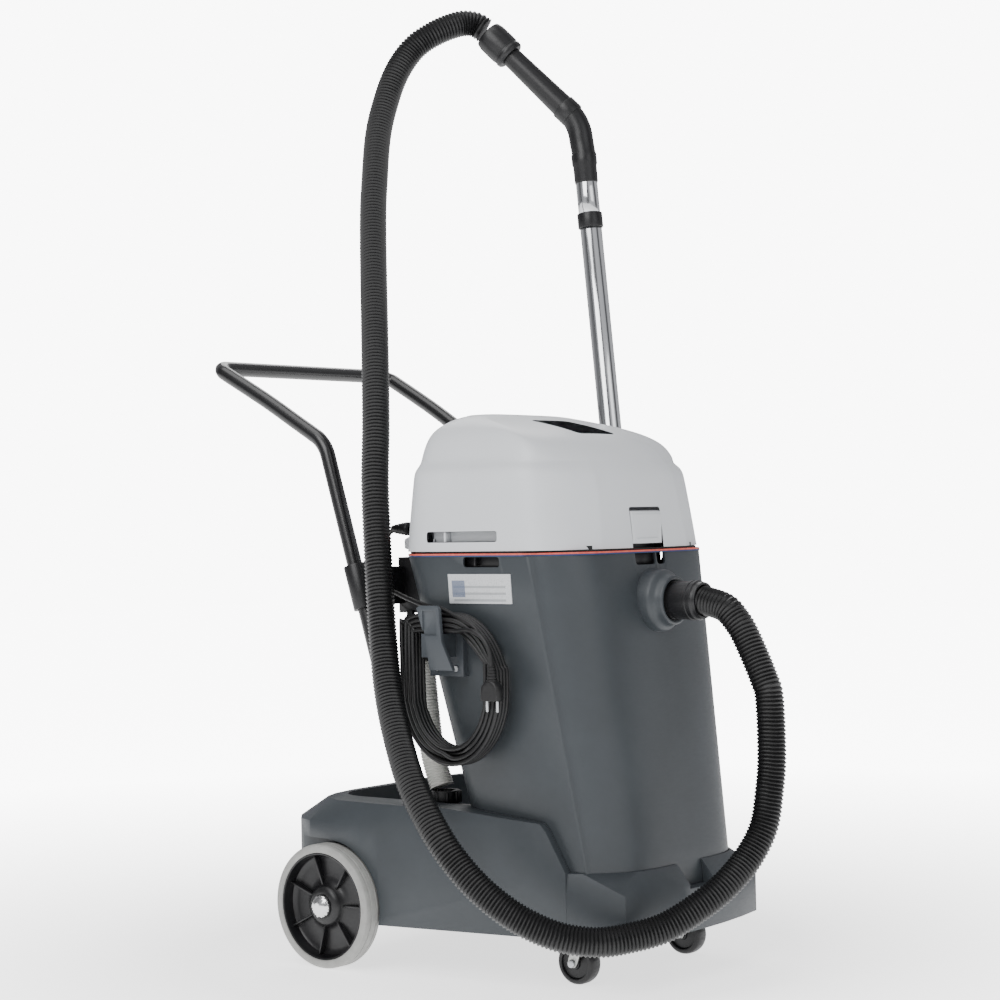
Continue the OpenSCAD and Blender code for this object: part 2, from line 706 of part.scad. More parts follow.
module motor_housings() color(black) for (s = [-1, 1]) translate([s * 66, motor_y, fan_z + 26])
    difference() {
        cylinder(r = 54, h = 100);
        translate([0, 0, 4]) cylinder(r = 49, h = 92);
        translate([0, 0, -1]) cylinder(r = 5.07, h = 110);
        for (a = [15:30:345]) rotate(a) translate([40, -5, 60]) cube([20, 10, 24]);
    }

// Fan, shaft and armature of one motor
module rotor(s) color(steel) translate([s * 66, motor_y, fan_z]) {
    translate([0, 0, 7]) cylinder(r = 5, h = 118);
    translate([0, 0, 8]) cylinder(r = 54, h = 2);
    for (a = [0:45:315]) rotate(a) translate([8, -1, 9]) cube([44, 2, 8]);
    translate([0, 0, 50]) cylinder(r = 30, h = 54);
    translate([0, 0, 108]) cylinder(r = 14, h = 10);
}
module left_rotor() { rotor(1); }
module right_rotor() { rotor(-1); }

// ---- Filter and float ----

module filter_basket() color(black) translate([0, motor_y, 0]) {
    difference() {
        translate([0, 0, 552]) cylinder(r = 112, h = head_z - 552);
        translate([0, 0, 556]) cylinder(r = 109, h = 140);
        for (a = [0:20:340], z = [562, 590, 618]) rotate(a) translate([100, -14, z])
            cube([20, 28, 22]);
        translate([0, 0, 540]) cylinder(r = 14, h = 30);
        for (a = [0:60:300]) rotate(a) translate([70, 0, 540]) cylinder(r = 16, h = 30);
    }
    // cage of the float
    for (a = [45:90:315]) rotate(a) translate([27.5, 0, 554]) cylinder(r = 3, h = head_z - 554);
}

module filter_sleeve() color(white) translate([0, motor_y, 0]) difference() {
    translate([0, 0, 548]) cylinder(r = 116, h = 112);
    translate([0, 0, 551.8]) cylinder(r = 112.2, h = 120);
}

module float_ball() color(white) translate([0, motor_y, 579]) sphere(r = 22);

// ---- Switches ----

module switch_bezel() color(light_grey) difference() {
    translate([-49.7, -221.7, 846]) cube([99.4, 99.4, 4]);
    for (s = [-1, 1]) translate([s * 23 - 15.8, -172 - 23.5, 840]) cube([31.6, 47, 30]);
}

// Rocker pivoted about its middle
module rocker(s) color(black) translate([s * 23, -172, 848]) rotate([90, 0, 90])
    translate([0, 0, -15]) {
        linear_extrude(30) polygon([[-22, -3], [22, -3], [22, 8], [12, 4], [0, 3], [-12, 4],
            [-22, 8]]);
        // barrel that the rocker turns on
        cylinder(r = 5, h = 30);
    }
module left_switch() { rocker(1); }
module right_switch() { rocker(-1); }

// ---- Latches ----

module latch(y, s) color(light_grey) translate([0, y, latch_z]) difference() {
    union() {
        translate([-40, 0, 0]) along_x() cylinder(r = 6, h = 80);
        translate([-40, s > 0 ? 2 : -7.5, -46]) cube([80, 5.5, 46]);
        translate([-30, s > 0 ? 7 : -9.5, -46]) cube([60, 2.5, 8]);
    }
    translate([-41, 0, 0]) along_x() cylinder(r = 3.06, h = 82);
}
module front_latch() { latch(latch_y, -1); }
module rear_latch() { latch(rear_latch_y, 1); }

module latch_pins() color(steel) for (y = [latch_y, rear_latch_y])
    translate([-45, y, latch_z]) along_x() cylinder(r = 3, h = 90);

// ---- Mains lead ----

module cable_gland() color(black) translate([-188, -8, 706]) rotate([-90, 0, 0]) difference() {
    union() {
        cylinder(r = 6, h = 24);
        translate([0, 0, 19.5]) rotate_extrude() polygon([[0, 0], [9, 0], [9, 6], [6, 18], [0, 18]]);
    }
    translate([0, 0, -1]) cylinder(r = 4.1, h = 60);
}

module mains_lead() color(black) sweep(lead_route, cord_d / 2, 10);

// Oval bundle of the stowed lead
module lead_coil() color(black) translate([coil_at[0] + coil_deep / 2, coil_at[1], coil_at[2]])
    rotate([90, 0, -90]) difference() {
        linear_extrude(coil_deep) polygon([for (a = [0:10:350])
            [coil_half_y * cos(a), coil_half_z * sin(a)]]);
        translate([0, 0, -1]) linear_extrude(coil_deep + 2) polygon([for (a = [0:10:350])
            [(coil_half_y - coil_band) * cos(a), (coil_half_z - coil_band) * sin(a)]]);
        // the strands bend over the hook's arm
        translate([-50 - 0.5, 46, -1]) cube([44, 41.5, coil_deep + 2]);
    }

// Moulded plug with two pins, resting against the coil
module mains_plug() color(black) translate([coil_at[0] - coil_deep / 2 - 0.5, -215, 442]) {
    translate([-18, -18, 0]) cube([18, 36, 30]);
    translate([-9, 0, 29]) cylinder(r1 = 9, r2 = 5, h = 23);
    for (y = [-10, 10]) translate([-9, y, -17]) cylinder(r = 2.3, h = 18);
}

chassis();
rear_axle();
axle_clamps();
left_rim();
left_tyre();
right_rim();
right_tyre();
hub_caps();
castor_plates();
left_castor_fork();
right_castor_fork();
left_castor_wheel();
right_castor_wheel();
left_castor_pin();
right_castor_pin();
push_handle();
handle_bracket();
bracket_screws();
tub();
trim_ring();
label_plate();
inlet_boss();
inlet_elbow();
inlet_screws();
hose_cuff();
suction_hose();
swivel_cuff();
wand_grip();
air_slider();
upper_tube();
tube_collar();
lower_tube();
tube_holder();
cord_hook();
hook_screws();
drain_outlet();
drain_nut();
drain_hose();
drain_cap();
motor_cover();
cover_screws();
head_base();
head_seal();
motor_housings();
fan_casings();
left_rotor();
right_rotor();
filter_basket();
filter_sleeve();
float_ball();
switch_bezel();
left_switch();
right_switch();
front_latch();
rear_latch();
latch_pins();
cable_gland();
mains_lead();
lead_coil();
mains_plug();
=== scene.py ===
import json
import math
import bpy
from mathutils import Vector, Matrix


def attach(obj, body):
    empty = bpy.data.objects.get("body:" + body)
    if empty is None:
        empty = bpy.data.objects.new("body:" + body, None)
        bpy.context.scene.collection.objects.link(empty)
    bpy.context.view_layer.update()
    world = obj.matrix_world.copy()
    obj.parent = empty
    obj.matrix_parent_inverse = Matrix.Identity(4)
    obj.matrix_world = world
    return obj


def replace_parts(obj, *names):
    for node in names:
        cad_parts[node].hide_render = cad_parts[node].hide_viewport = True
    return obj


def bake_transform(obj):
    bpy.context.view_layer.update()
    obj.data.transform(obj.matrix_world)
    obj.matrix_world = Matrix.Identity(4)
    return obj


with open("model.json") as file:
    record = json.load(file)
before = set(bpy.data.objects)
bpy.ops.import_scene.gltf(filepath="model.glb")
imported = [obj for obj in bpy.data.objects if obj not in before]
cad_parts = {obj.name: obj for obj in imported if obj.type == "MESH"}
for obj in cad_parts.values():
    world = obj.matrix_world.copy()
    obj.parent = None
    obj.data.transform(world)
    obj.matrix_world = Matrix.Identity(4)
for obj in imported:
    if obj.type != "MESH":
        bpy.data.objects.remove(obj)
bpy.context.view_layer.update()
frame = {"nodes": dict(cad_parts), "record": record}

nodes = frame["nodes"]


# left is the side where x is positive
sideName = {1: "Left", -1: "Right"}


def freeHands():
    if bpy.context.object and bpy.context.object.mode != "OBJECT":
        bpy.ops.object.mode_set(mode="OBJECT")
    bpy.ops.object.select_all(action="DESELECT")


def take(piece):
    freeHands()
    piece.select_set(True)
    bpy.context.view_layer.objects.active = piece
    return piece


def settle(piece, name=None):
    take(piece)
    if name:
        piece.name = name
        piece.data.name = name
    bpy.ops.object.transform_apply(location=True, rotation=True, scale=True)
    return piece


def finishWith(piece, kind, **settings):
    take(piece)
    step = piece.modifiers.new("step", kind)
    for key, value in settings.items():
        setattr(step, key, value)
    bpy.ops.object.modifier_apply(modifier=step.name)
    return piece


def faceOut(piece, merge=0.00002):
    take(piece)
    bpy.ops.object.mode_set(mode="EDIT")
    bpy.ops.mesh.select_all(action="SELECT")
    bpy.ops.mesh.remove_doubles(threshold=merge)
    bpy.ops.mesh.normals_make_consistent(inside=False)
    bpy.ops.object.mode_set(mode="OBJECT")
    return piece


def smooth(piece, degrees=34):
    take(piece)
    bpy.ops.object.shade_smooth_by_angle(angle=math.radians(degrees))
    return piece


def joined(name, pieces):
    take(pieces[0])
    for piece in pieces:
        piece.select_set(True)
    if len(pieces) > 1:
        bpy.ops.object.join()
    piece = bpy.context.object
    piece.name = name
    piece.data.name = name
    return piece


def block(name, low, high, edge=0.0, steps=2):
    freeHands()
    bpy.ops.mesh.primitive_cube_add(size=1, location=[(a + b) / 2 for a, b in zip(low, high)])
    piece = bpy.context.object
    piece.scale = [b - a for a, b in zip(low, high)]
    settle(piece, name)
    if edge:
        finishWith(piece, "BEVEL", width=edge, segments=steps, limit_method="ANGLE",
                   angle_limit=math.radians(40))
    return piece


# a block given for the left side, mirrored to the right when side is -1
def sideBlock(name, side, low, high, edge, steps=2):
    near, far = sorted((side * low[0], side * high[0]))
    return block(name, (near, *low[1:]), (far, *high[1:]), edge, steps)


# thin plates that line a recess, joined into one piece
def makeLining(name, plates, edge, side):
    parts = [sideBlock("plate", side, low, high, edge) for low, high in plates]
    return smooth(joined(name, parts), 36)


def aim(direction):
    return Vector(direction).normalized().to_track_quat("Z", "Y").to_matrix().to_4x4()


# a profile of (radius, along) points spun round an axis that starts at foot
def turned(name, profile, foot, axis=(0, 0, 1), steps=64):
    freeHands()
    bpy.ops.mesh.primitive_plane_add(size=1)
    piece = bpy.context.object
    piece.name = name
    mesh = piece.data
    mesh.clear_geometry()
    mesh.from_pydata([(max(r, 0.00001), 0, h) for r, h in profile],
                     [(k, k + 1) for k in range(len(profile) - 1)], [])
    take(piece)
    bpy.ops.object.mode_set(mode="EDIT")
    bpy.ops.mesh.select_all(action="SELECT")
    bpy.ops.mesh.spin(steps=steps, angle=math.tau, center=(0, 0, 0), axis=(0, 0, 1))
    bpy.ops.object.mode_set(mode="OBJECT")
    piece.matrix_world = Matrix.Translation(foot) @ aim(axis)
    settle(piece, name)
    return faceOut(piece, 0.00003)


def sheetOf(name, points, faces):
    freeHands()
    bpy.ops.mesh.primitive_plane_add(size=1)
    piece = bpy.context.object
    piece.name = name
    piece.data.clear_geometry()
    piece.data.from_pydata(points, [], faces)
    return piece


# rings of points, each with as many, skinned one to the next and capped
def skinned(name, rings):
    n = len(rings[0])
    points = [tuple(p) for ring in rings for p in ring]
    faces = []
    for k in range(len(rings) - 1):
        for i in range(n):
            j = (i + 1) % n
            faces.append((k * n + i, k * n + j, (k + 1) * n + j, (k + 1) * n + i))
    faces.append(tuple(range(n - 1, -1, -1)))
    faces.append(tuple(range((len(rings) - 1) * n, len(rings) * n)))
    return faceOut(sheetOf(name, points, faces), 0.000001)


# a smooth curve through the points, with as many steps from each to the next
def easedRoute(points, each):
    route = [Vector(p) for p in points]
    route = [route[0] * 2 - route[1]] + route + [route[-1] * 2 - route[-2]]
    out = []
    for k in range(1, len(route) - 2):
        a, b, c, d = route[k - 1:k + 3]
        for s in range(each):
            t = s / each
            out.append(0.5 * ((2 * b) + (c - a) * t + (2 * a - 5 * b + 4 * c - d) * t * t
                              + (3 * b - a - 3 * c + d) * t ** 3))
    out.append(route[-2])
    return out


# the same line with its points evenly spaced, and its length
def evenly(points, step):
    gaps = [(b - a).length for a, b in zip(points, points[1:])]
    total = sum(gaps)
    count = max(2, round(total / step))
    out, k, done = [], 0, 0.0
    for n in range(count + 1):
        want = total * n / count
        while k < len(gaps) - 1 and done + gaps[k] < want:
            done += gaps[k]
            k += 1
        out.append(points[k].lerp(points[k + 1], min(1, (want - done) / max(gaps[k], 1e-9))))
    return out, total


def tubeAlong(name, path, radii, sides=16):
    rings, side = [], None
    last = len(path) - 1
    for k, point in enumerate(path):
        ahead = (path[min(k + 1, last)] - path[max(k - 1, 0)]).normalized()
        if side is None:
            side = ahead.cross(Vector((0.31, 0.17, 0.93))).normalized()
        side = (side - ahead * side.dot(ahead)).normalized()
        up = ahead.cross(side)
        r = radii[k] if isinstance(radii, list) else radii
        rings.append([point + (side * math.cos(math.tau * i / sides)
                               + up * math.sin(math.tau * i / sides)) * r for i in range(sides)])
    piece = skinned(name, rings)
    return smooth(piece, 50)


def cutWith(piece, cutter):
    finishWith(piece, "BOOLEAN", operation="DIFFERENCE", solver="EXACT", object=cutter)
    bpy.data.objects.remove(cutter, do_unlink=True)
    return piece


# a merged copy of a CAD part with its edges rounded
def softCopy(node, width, steps, angle):
    source = nodes[node]
    freeHands()
    bpy.ops.mesh.primitive_plane_add(size=1)
    piece = bpy.context.object
    piece.name = node + "Finished"
    spare = piece.data
    piece.data = source.data.copy()
    bpy.data.meshes.remove(spare)
    piece.data.materials.clear()
    take(piece)
    bpy.ops.object.mode_set(mode="EDIT")
    bpy.ops.mesh.select_all(action="SELECT")
    bpy.ops.mesh.remove_doubles(threshold=0.00001)
    bpy.ops.mesh.dissolve_limited(angle_limit=math.radians(1.5))
    bpy.ops.object.mode_set(mode="OBJECT")
    finishWith(piece, "BEVEL", width=width, segments=steps, limit_method="ANGLE",
               angle_limit=math.radians(angle), use_clamp_overlap=True)
    smooth(piece, 36)
    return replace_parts(piece, node)


def hand(piece, body, material):
    piece.data.materials.clear()
    piece.data.materials.append(material)
    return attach(piece, body)


# a socket that Python's operators work on, each as a maths node
class Value:
    def __init__(self, graph, link):
        self.graph, self.link = graph, link

    def maths(self, operation, a, b=None):
        numbers = [a] if b is None else [a, b]
        return self.graph.add("ShaderNodeMath", {"operation": operation}, *numbers)

    def __add__(self, other):
        return self.maths("ADD", self, other)

    def __radd__(self, other):
        return self.maths("ADD", other, self)

    def __sub__(self, other):
        return self.maths("SUBTRACT", self, other)

    def __rsub__(self, other):
        return self.maths("SUBTRACT", other, self)

    def __mul__(self, other):
        return self.maths("MULTIPLY", self, other)

    def __rmul__(self, other):
        return self.maths("MULTIPLY", other, self)

    def __gt__(self, other):
        return self.maths("GREATER_THAN", self, other)

    def __lt__(self, other):
        return self.maths("LESS_THAN", self, other)

    def __abs__(self):
        return self.maths("ABSOLUTE", self)


class Finish:
    def __init__(self, name):
        self.material = bpy.data.materials.new(name)
        self.material.use_nodes = True
        self.tree = self.material.node_tree
        self.shader = self.tree.nodes["Principled BSDF"]
        self.place = Value(self, self.tree.nodes.new("ShaderNodeTexCoord").outputs["Object"])

    # one node: its type, its settings, then its sockets in order or by name
    def add(self, kind, settings=None, *ordered, out=0, **named):
        node = self.tree.nodes.new(kind)
        for key, value in (settings or {}).items():
            setattr(node, key, value)
        sockets = list(enumerate(ordered)) + [(k.replace("_", " "), v) for k, v in named.items()]
        for key, value in sockets:
            socket = node.inputs[key]
            if isinstance(value, Value):
                self.tree.links.new(value.link, socket)
            elif value is not None:
                socket.default_value = value
        return Value(self, node.outputs[out])

    def noise(self, scale, detail=3.0, roughness=0.55, stretch=None):
        place = self.place
        if stretch:
            place = self.add("ShaderNodeMapping", {}, place, None, None, stretch)
        return self.add("ShaderNodeTexNoise", {}, out="Fac", Vector=place, Scale=scale,
                        Detail=detail, Roughness=roughness)

    def blend(self, factor, a, b):
        node = self.tree.nodes.new("ShaderNodeMix")
        node.data_type = "RGBA"
        for socket, value in zip((node.inputs[0], node.inputs[6], node.inputs[7]), (factor, a, b)):
            if isinstance(value, Value):
                self.tree.links.new(value.link, socket)
            else:
                socket.default_value = value
        return Value(self, node.outputs[2])

    def axis(self, name):
        node = self.tree.nodes.new("ShaderNodeSeparateXYZ")
        self.tree.links.new(self.place.link, node.inputs[0])
        return Value(self, node.outputs[name])

    def span(self, value, low, high, start=0.0, end=1.0):
        return self.add("ShaderNodeMapRange", {}, value, low, high, start, end)

    def use(self, **sockets):
        for key, value in sockets.items():
            socket = self.shader.inputs[key.replace("_", " ")]
            if isinstance(value, Value):
                self.tree.links.new(value.link, socket)
            else:
                socket.default_value = value

    def bump(self, height, strength, distance):
        node = self.tree.nodes.new("ShaderNodeBump")
        node.inputs["Strength"].default_value = strength
        node.inputs["Distance"].default_value = distance
        self.tree.links.new(height.link, node.inputs["Height"])
        self.tree.links.new(node.outputs[0], self.shader.inputs["Normal"])


# a colour from its red, green and blue, each 0 to 255 as on a screen
def shade(red, green, blue):
    def line(v):
        v /= 255
        return v / 12.92 if v <= 0.04045 else ((v + 0.055) / 1.055) ** 2.4
    return (line(red), line(green), line(blue), 1.0)


def tinted(colour, k):
    return tuple(min(1.0, c * k) for c in colour[:3]) + (1.0,)


# moulded plastic: fine spark texture, cloudy tone and a little wear in the gloss
def mouldedPlastic(name, colour, rough=0.42, grain=1500, depth=0.00012, cloud=0.10, coat=0.0):
    finish = Finish(name)
    clouds = finish.noise(9.0, 4.0)
    specks = finish.noise(grain, 2.0)
    scuffs = finish.noise(60.0, 6.0, 0.7, (1.0, 1.0, 5.0))
    tone = finish.blend(finish.span(clouds, 0.3, 0.7),
                        tinted(colour, 1 - cloud), tinted(colour, 1 + cloud))
    tone = finish.blend(finish.span(scuffs, 0.62, 0.78, 0.0, 0.12), tone, tinted(colour, 1.6))
    finish.use(Base_Color=tone, Roughness=finish.span(scuffs, 0.2, 0.8, rough - 0.06, rough + 0.08),
               Coat_Weight=coat)
    finish.shader.inputs["Coat Roughness"].default_value = 0.25
    finish.bump(specks, 0.35, depth)
    return finish.material


print("finishes")
finishes = {
    "dark_shell": mouldedPlastic("darkShell", shade(56, 61, 65), 0.42, 1300),
    "light_shell": mouldedPlastic("lightShell", shade(216, 219, 222), 0.36, 1300, 0.00008, 0.02),
    "black_plastic": mouldedPlastic("blackPlastic", shade(20, 20, 22), 0.36, 1600),
    "mid_grey": mouldedPlastic("midGrey", shade(66, 71, 76), 0.42, 1300),
    "seal_rubber": mouldedPlastic("sealRubber", shade(26, 26, 27), 0.7, 700),
    "float_white": mouldedPlastic("floatWhite", shade(228, 228, 224), 0.4, 900, 0.00008, 0.03),
    "hose_white": mouldedPlastic("hoseWhite", shade(214, 214, 208), 0.38, 700, 0.00015, 0.05),
    "black_paint": mouldedPlastic("blackPaint", shade(13, 13, 15), 0.27, 420, 0.00006, 0.06, 0.4),
    "hose_black": mouldedPlastic("hoseBlack", shade(15, 15, 16), 0.36, 900, 0.00012, 0.12),
    "cord_black": mouldedPlastic("cordBlack", shade(16, 16, 17), 0.44, 1800, 0.00008, 0.1),
}


def rollingRubber():
    finish = Finish("tyreRubber")
    dust = finish.noise(70.0, 6.0, 0.65)
    grain = finish.noise(900.0, 2.0)
    base = shade(160, 160, 157)
    tone = finish.blend(finish.span(dust, 0.35, 0.75), tinted(base, 0.86), tinted(base, 1.08))
    finish.use(Base_Color=tone, Roughness=finish.span(dust, 0.3, 0.7, 0.52, 0.72))
    finish.bump(grain, 0.3, 0.0002)
    return finish.material


def brightMetal(name, colour, rough, streak=(1.0, 1.0, 0.02), depth=0.00003):
    finish = Finish(name)
    brushed = finish.noise(900.0, 3.0, 0.6, streak)
    clouds = finish.noise(14.0, 3.0)
    tone = finish.blend(finish.span(clouds, 0.3, 0.7), tinted(colour, 0.93), tinted(colour, 1.03))
    finish.use(Base_Color=tone, Metallic=1.0,
               Roughness=finish.span(brushed, 0.25, 0.75, rough, rough * 1.8 + 0.02))
    finish.bump(brushed, 0.12, depth)
    return finish.material


def filterCloth():
    finish = Finish("filterCloth")
    felt = finish.noise(420.0, 5.0, 0.7)
    tone = finish.blend(felt, shade(214, 212, 202), shade(238, 237, 230))
    finish.use(Base_Color=tone, Roughness=0.92)
    finish.shader.inputs["Sheen Weight"].default_value = 0.25
    finish.bump(felt, 0.6, 0.0006)
    return finish.material


# salmon stripe over a thin dark line
def trimStripe():
    finish = Finish("trimRed")
    height = finish.axis("Z")
    wear = finish.noise(160.0, 4.0)
    red = finish.blend(finish.span(wear, 0.4, 0.7), shade(206, 84, 70), shade(222, 102, 86))
    finish.use(Base_Color=finish.blend(finish.span(height, 0.6631, 0.6634), shade(38, 62, 104), red),
               Roughness=finish.span(wear, 0.3, 0.7, 0.34, 0.46))
    finish.bump(wear, 0.1, 0.0001)
    return finish.material


# pale plate with plain bars and a small blue-grey panel, and no lettering
def plateFinish():
    finish = Finish("ratingLabel")
    y, z = finish.axis("Y"), finish.axis("Z")
    grain = finish.noise(700.0, 3.0)
    bars = finish.add("ShaderNodeMath", {"operation": "PINGPONG"}, z - 0.588, 0.0052)
    inBars = (bars > 0.0034) * (abs(y + 0.160) < 0.052) * (z < 0.622)
    panel = (abs(y + 0.118) < 0.013) * (abs(z - 0.611) < 0.013)
    tone = finish.blend(grain, shade(198, 200, 202), shade(212, 214, 216))
    tone = finish.blend(inBars * 0.55, tone, shade(120, 124, 128))
    tone = finish.blend(panel * 0.8, tone, shade(86, 100, 128))
    finish.use(Base_Color=tone, Roughness=finish.span(grain, 0.3, 0.7, 0.24, 0.34), Metallic=0.15)
    finish.bump(grain, 0.08, 0.00005)
    return finish.material


finishes.update({
    "tyre_rubber": rollingRubber(),
    "polished_tube": brightMetal("polishedTube", shade(226, 228, 230), 0.07),
    "steel": brightMetal("screwSteel", shade(196, 198, 200), 0.24, (1.0, 1.0, 1.0)),
    "bright_cap": brightMetal("brightCap", shade(232, 232, 232), 0.10, (1.0, 1.0, 1.0)),
    "zinc": brightMetal("zincSheet", shade(196, 197, 194), 0.34, (1.0, 1.0, 1.0), 0.00006),
    "filter_cloth": filterCloth(),
    "trim_red": trimStripe(),
    "label": plateFinish(),
})

# every part carried over takes the finish of its slot
for part in frame["record"]["subparts"]:
    mesh = nodes[part["node"]].data
    mesh.materials.clear()
    mesh.materials.append(finishes[part["material_slot"]])
    for polygon in mesh.polygons:
        polygon.material_index = 0


print("camera")
cameraSettings = {"place": (-2.9738, -2.4155, 0.7229), "around": -51.244, "above": -0.410,
                  "roll": -1.163, "lens": 82.53}


def setCamera(options):
    turn, rise, roll = (math.radians(options[k]) for k in ("around", "above", "roll"))
    back = Vector((math.sin(turn) * math.cos(rise), -math.cos(turn) * math.cos(rise), math.sin(rise)))
    right = (-back).cross(Vector((0, 0, 1))).normalized()
    up = right.cross(-back)
    right, up = (math.cos(roll) * right + math.sin(roll) * up,
                 math.cos(roll) * up - math.sin(roll) * right)
    lens = bpy.data.cameras.new("studioCamera")
    lens.lens, lens.sensor_width = options["lens"], 36
    eye = bpy.data.objects.new("studioCamera", lens)
    bpy.context.scene.collection.objects.link(eye)
    facing = Matrix((right, up, back)).transposed().to_4x4()
    eye.matrix_world = Matrix.Translation(options["place"]) @ facing
    bpy.context.scene.camera = eye


setCamera(cameraSettings)


print("suction hose")
suctionHose = {"crest": 0.023, "valley": 0.0203, "rib": 0.006, "sides": 24, "route": [
    (0, -.428, .587), (0, -.468, .576), (0, -.488, .558), (0, -.506, .532), (0, -.536, .470),
    (0, -.546, .435), (-.002, -.549, .350), (-.008, -.547, .296), (-.020, -.543, .244),
    (-.046, -.531, .200), (-.085, -.514, .162), (-.124, -.491, .133), (-.168, -.459, .106),
    (-.212, -.424, .094), (-.250, -.393, .091), (-.286, -.349, .101), (-.313, -.298, .126),
    (-.331, -.250, .161), (-.341, -.209, .200), (-.346, -.169, .248), (-.336, -.116, .313),
    (-.314, -.070, .378), (-.290, -.030, .450), (-.269, -.002, .530), (-.252, .019, .625),
    (-.225, .048, .770), (-.198, .068, .870), (-.164, .097, .977), (-.080, .171, 1.210),
    (-.044, .197, 1.305), (-.010, .217, 1.388), (.020, .223, 1.452), (.042, .220, 1.498),
    (.064, .212, 1.533), (.082, .199, 1.556), (.102, .182, 1.573), (.124, .166, 1.586),
    (.146, .151, 1.594), (.163, .136, 1.592), (.172, .124, 1.582)]}


def makeHose(options):
    eased = easedRoute(options["route"], 12)
    path, length = evenly(eased, options["rib"] / 4)
    wave = [1.0, 0.55, 0.0, 0.55]
    radii = [options["valley"] + (options["crest"] - options["valley"]) * wave[k % 4]
             for k in range(len(path))]
    hose = tubeAlong("suctionHose", path, radii, options["sides"])
    smooth(hose, 80)
    print("hose length", round(length, 3))
    return hose, path, length


hose, hosePath, hoseLength = makeHose(suctionHose)
hand(hose, "chassis", finishes["hose_black"])
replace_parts(hose, "suction_hose")

inletCuff = {"foot": (0, -0.352, 0.586), "profile": [
    (.0220, 0), (.0274, 0), (.0274, .0285), (.0295, .0290), (.0302, .0310), (.0302, .0560),
    (.0312, .0570), (.0312, .0610), (.0302, .0620), (.0302, .0650), (.0312, .0660), (.0312, .0700),
    (.0300, .0710), (.0292, .0750), (.0286, .0790), (.0252, .0790), (.0240, .0600), (.0220, .0600),
    (.0220, 0)]}
cuff = smooth(turned("inletCuff", inletCuff["profile"], inletCuff["foot"], (0, -1, 0), 72), 40)
hand(cuff, "hose_cuff", finishes["black_plastic"])
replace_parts(cuff, "hose_cuff")

# the lead runs from the gland to the hook, round the coil and down to its plug
print("mains lead")
mainsLead = {"radius": 0.00375, "sides": 12, "passes": 16, "pitch": 0.0077, "spacing": 0.0076,
             "middle": (-0.237, -0.119, 0.455), "halfY": 0.0962, "halfZ": 0.1152,
             "begins": 28, "firstEnd": 330, "each": 337.5, "crossing": 20, "points": 420,
             "armTop": 0.5432, "armY": (-0.118, -0.064), "start": [
    (-.188, .030, .706), (-.189, .042, .704), (-.195, .056, .694), (-.203, .064, .672),
    (-.209, .064, .646), (-.212, .050, .624), (-.215, .028, .609), (-.219, .002, .600),
    (-.225, -.028, .592), (-.231, -.055, .586), (-.236, -.080, .582), (-.239, -.100, .5795)],
    "end": [(-.2500, -.140, .5465), (-.2560, -.158, .5490), (-.2605, -.180, .5470),
            (-.2615, -.200, .5360), (-.2615, -.211, .5180), (-.2615, -.215, .4940)]}


def easeStep(t):
    t = max(0.0, min(1.0, t))
    return t * t * (3 - 2 * t)


# a pass's depth across the coil and its layer: four side by side, there and back
def passPlace(step):
    across = step % 8
    return (across if across < 4 else 7 - across, step // 4)


# one point of the coil, lifted over the hook's arm where it would cut through it
def coilPoint(options, angle):
    order = [passPlace(step) for step in range(options["passes"])]
    firstEnd, each, crossing = options["firstEnd"], options["each"], options["crossing"]
    turn = max(0, min(options["passes"] - 1, math.floor((angle - firstEnd + crossing) / each)))
    a = order[turn]
    b = order[min(turn + 1, options["passes"] - 1)]
    ends = firstEnd + each * turn
    t = easeStep((angle - ends) / crossing) if angle < ends + crossing else 1.0
    if angle < firstEnd:
        a, b, t = order[0], order[0], 0.0
    depth = a[0] + (b[0] - a[0]) * t
    layer = a[1] + (b[1] - a[1]) * t
    x, y, z = options["middle"]
    swing = math.radians(angle)
    y -= (options["halfY"] - options["pitch"] * layer) * math.sin(swing)
    z += (options["halfZ"] - options["pitch"] * layer) * math.cos(swing)
    low, high = options["armY"]
    beside = max(low - y, y - high, 0.0)
    if z > options["middle"][2]:
        wanted = options["armTop"] + options["radius"] + options["pitch"] * (3 - layer) \
            - 9.0 * beside * beside
        gap = wanted - z
        z += 0.5 * (gap + math.sqrt(gap * gap + 0.000006))
    return Vector((x - 0.0114 + options["spacing"] * depth, y, z))


def makeLead(options):
    begins, count = options["begins"], options["points"]
    last = options["firstEnd"] + options["each"] * (options["passes"] - 1)
    coil = [coilPoint(options, begins + (last - begins) * k / count) for k in range(count + 1)]
    route = [Vector(p) for p in options["start"]] + coil + [Vector(p) for p in options["end"]]
    path, length = evenly(easedRoute(route, 5), 0.004)
    lead = tubeAlong("mainsLead", path, options["radius"], options["sides"])
    print("lead length", round(length, 3))
    return lead, path, length


lead, leadPath, leadLength = makeLead(mainsLead)

plugSettings = {"middle": (-0.2615, -0.215), "foot": 0.442, "flat": 0.0090,
                "pinFoot": 0.425, "pinY": (-0.225, -0.205)}


def makePlug(options):
    x, y = options["middle"]
    z = options["foot"]
    body = turned("mainsPlug", [(0, 0), (.0165, 0), (.0178, .0015), (.0180, .014), (.0168, .022),
                                (.0120, .028), (.0092, .030), (0, .030)], (x, y, z), (0, 0, 1), 40)
    for vertex in body.data.vertices:
        vertex.co.x = x + max(-options["flat"], min(options["flat"], vertex.co.x - x))
    finishWith(body, "BEVEL", width=.0012, segments=2, limit_method="ANGLE", angle_limit=.7)
    ribs, h = [(0, 0), (.0088, 0)], 0.0
    for k in range(5):
        r = .0086 - .0007 * k
        ribs += [(r, h + .0006), (r, h + .0030), (r - .0016, h + .0034), (r - .0016, h + .0044)]
        h += .0046
    ribs += [(.0046, h), (0, h)]
    relief = turned("plugRelief", ribs, (x, y, z + .029), (0, 0, 1), 32)
    return smooth(joined("mainsPlug", [body, relief]), 38)


